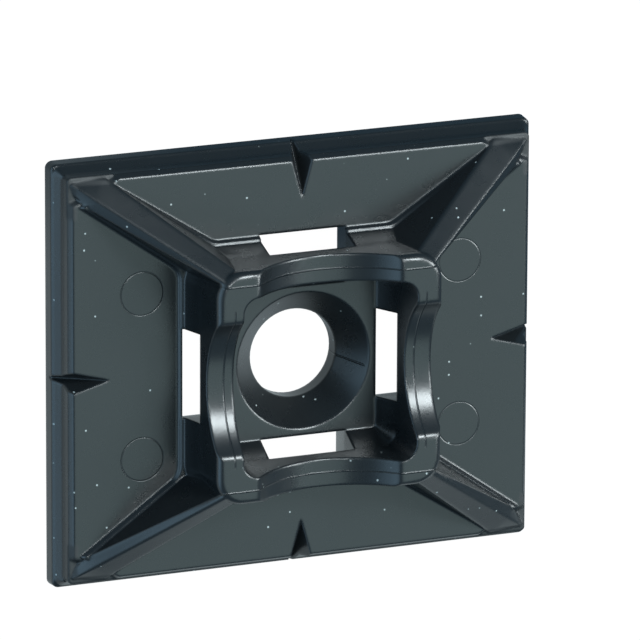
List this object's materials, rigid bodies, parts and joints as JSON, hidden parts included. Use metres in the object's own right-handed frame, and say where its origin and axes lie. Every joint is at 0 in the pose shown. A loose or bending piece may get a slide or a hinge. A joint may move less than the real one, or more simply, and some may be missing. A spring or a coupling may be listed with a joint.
{
  "type": "cable tie mount",
  "caption": "Screw-on cable tie base: a rectangular plate with a raised square frame, saddle-shaped tie bars, sloping corner ribs and a countersunk screw hole.",
  "frame": {"origin": "centre of the back face, on the surface that the mount is screwed to", "axes": "+X along the longer side of the base, +Y along the shorter side, +Z out of the surface, towards the tie bars"},
  "size_m": [0.028, 0.024, 0.0066],
  "materials": {
    "black_nylon": "moulded satin nylon"
  },
  "bodies": {
    "root": {"tie_mount": "black_nylon"}
  },
  "joints": []
}
